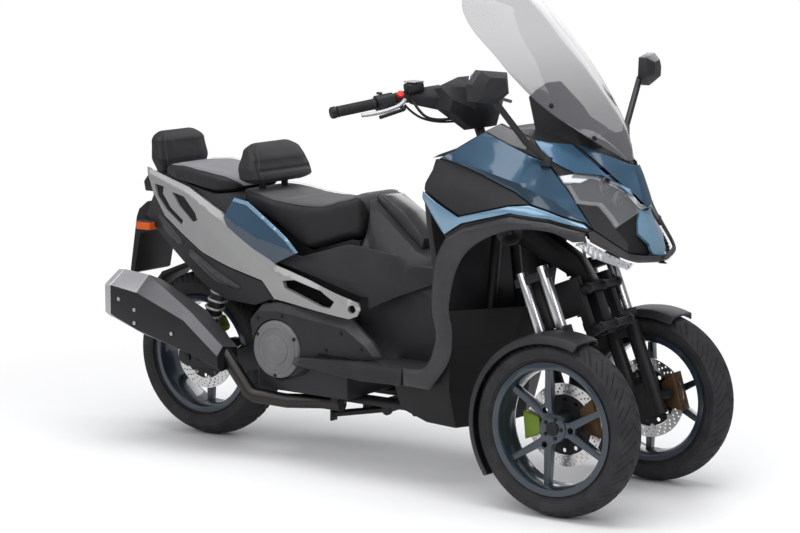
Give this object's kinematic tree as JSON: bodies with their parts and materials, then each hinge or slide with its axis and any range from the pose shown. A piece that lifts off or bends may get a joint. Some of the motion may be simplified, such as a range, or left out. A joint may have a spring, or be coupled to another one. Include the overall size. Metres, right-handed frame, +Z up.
{
  "type": "reverse trike",
  "caption": "Maxi scooter that leans on two steered front wheels and one driven rear wheel, with a fairing, a windscreen and a stepped seat with two backrests.",
  "frame": {"origin": "on the ground, on the centre line, midway between the front and rear axles, which is also the bottom centre of the bounding box", "axes": "+X forward, +Y to the rider's left, +Z up"},
  "size_m": [2.148, 1.091, 1.5749],
  "materials": {
    "tyre": "matte black rubber",
    "rim_paint": "slate blue metallic paint",
    "disc_steel": "brushed steel",
    "chrome": "bright chrome",
    "cast_dark": "satin black paint on castings",
    "caliper_metal": "gold anodised look",
    "dark_plastic": "fine grained charcoal plastic",
    "cap_grey": "satin mid grey plastic",
    "blue_paint": "metallic denim blue paint on plastic",
    "lamp_glass": "clear lamp lens",
    "screen_clear": "clear tinted screen",
    "satin_silver": "satin silver grey paint",
    "tail_red": "red lens",
    "indicator_orange": "orange lens",
    "seat_vinyl": "grained grey and black vinyl",
    "engine_alloy": "painted casing",
    "silencer_grey": "satin black with a grey top facet",
    "silencer_cap_silver": "satin aluminium",
    "pipe_steel": "heat tinted steel",
    "frame_black": "semi gloss black paint",
    "grip_rubber": "matte black rubber"
  },
  "bodies": {
    "chassis": {"tilt_linkage": "cast_dark", "swingarm": "cast_dark", "rear_caliper": "caliper_metal", "fairing_insets": "dark_plastic", "arch_trims": "dark_plastic", "nose_cheeks": "dark_plastic", "dash": "dark_plastic", "leg_shield": "dark_plastic", "front_liner": "dark_plastic", "tail_unit": "dark_plastic", "underseat_panels": "dark_plastic", "rear_mudguard": "dark_plastic", "centre_tunnel": "dark_plastic", "engine_covers": "dark_plastic", "footboards": "dark_plastic", "luggage_tub": "dark_plastic", "mirrors": "dark_plastic", "drive_cap": "cap_grey", "fairing_sides": "blue_paint", "nose_cowl": "blue_paint", "side_panels": "blue_paint", "headlamps": "lamp_glass", "front_indicators": "lamp_glass", "windscreen": "screen_clear", "side_frames": "satin_silver", "tail_lamp": "tail_red", "rear_indicators": "indicator_orange", "passenger_backrest": "seat_vinyl", "engine": "engine_alloy", "silencer": "silencer_grey", "silencer_cap": "silencer_cap_silver", "exhaust_pipe": "pipe_steel", "frame": "frame_black", "seat_frame": "frame_black", "rear_shocks": "frame_black"},
    "handlebar": {"handlebar": "frame_black", "handlebar_cover": "dark_plastic", "grips": "grip_rubber"},
    "upright_right": {"upright_right": "cast_dark", "fork_tubes_right": "chrome", "calipers_right": "caliper_metal", "mudguard_right": "dark_plastic"},
    "upright_left": {"upright_left": "cast_dark", "fork_tubes_left": "chrome", "calipers_left": "caliper_metal", "mudguard_left": "dark_plastic"},
    "wheel_front_right": {"tyre_front_right": "tyre", "rim_front_right": "rim_paint", "disc_front_right": "disc_steel"},
    "wheel_front_left": {"tyre_front_left": "tyre", "rim_front_left": "rim_paint", "disc_front_left": "disc_steel"},
    "wheel_rear": {"tyre_rear": "tyre", "rim_rear": "rim_paint", "disc_rear": "disc_steel"},
    "seat": {"rider_seat": "seat_vinyl", "rider_backrest": "seat_vinyl", "passenger_seat": "seat_vinyl"},
    "fuel_lid": {"fuel_lid": "dark_plastic"},
    "centre_stand": {"centre_stand": "frame_black"}
  },
  "joints": [
    {"name": "steering", "type": "hinge", "parent": "chassis", "child": "handlebar", "pos_m": [0.262, 0, 1.236], "axis": [-0.3746, 0, 0.9272], "range_deg": [-30, 30]},
    {"name": "steer_right", "type": "hinge", "parent": "chassis", "child": "upright_right", "pos_m": [0.8675, -0.13, 0], "axis": [-0.3746, 0, 0.9272], "range_deg": [-30, 30]},
    {"name": "steer_left", "type": "hinge", "parent": "chassis", "child": "upright_left", "pos_m": [0.8675, 0.13, 0], "axis": [-0.3746, 0, 0.9272], "range_deg": [-30, 30]},
    {"name": "wheel_front_right_spin", "type": "hinge", "parent": "upright_right", "child": "wheel_front_right", "pos_m": [0.7925, -0.293, 0.2745], "axis": [0, 1, 0], "continuous": true},
    {"name": "wheel_front_left_spin", "type": "hinge", "parent": "upright_left", "child": "wheel_front_left", "pos_m": [0.7925, 0.293, 0.2745], "axis": [0, 1, 0], "continuous": true},
    {"name": "wheel_rear_spin", "type": "hinge", "parent": "chassis", "child": "wheel_rear", "pos_m": [-0.7925, 0, 0.2865], "axis": [0, 1, 0], "continuous": true},
    {"name": "seat_hinge", "type": "hinge", "parent": "chassis", "child": "seat", "pos_m": [-0.062, 0, 0.893], "axis": [0, 1, 0], "range_deg": [0, 60]},
    {"name": "fuel_lid_hinge", "type": "hinge", "parent": "chassis", "child": "fuel_lid", "pos_m": [0.128, 0, 0.728], "axis": [0, 1, 0], "range_deg": [0, 75]},
    {"name": "centre_stand_hinge", "type": "hinge", "parent": "chassis", "child": "centre_stand", "pos_m": [0, 0, 0.19], "axis": [0, -1, 0], "range_deg": [0, 90]}
  ],
  "couplings": [
    {"joint": "steer_right", "follows": "steering", "ratio": 1},
    {"joint": "steer_left", "follows": "steering", "ratio": 1}
  ]
}
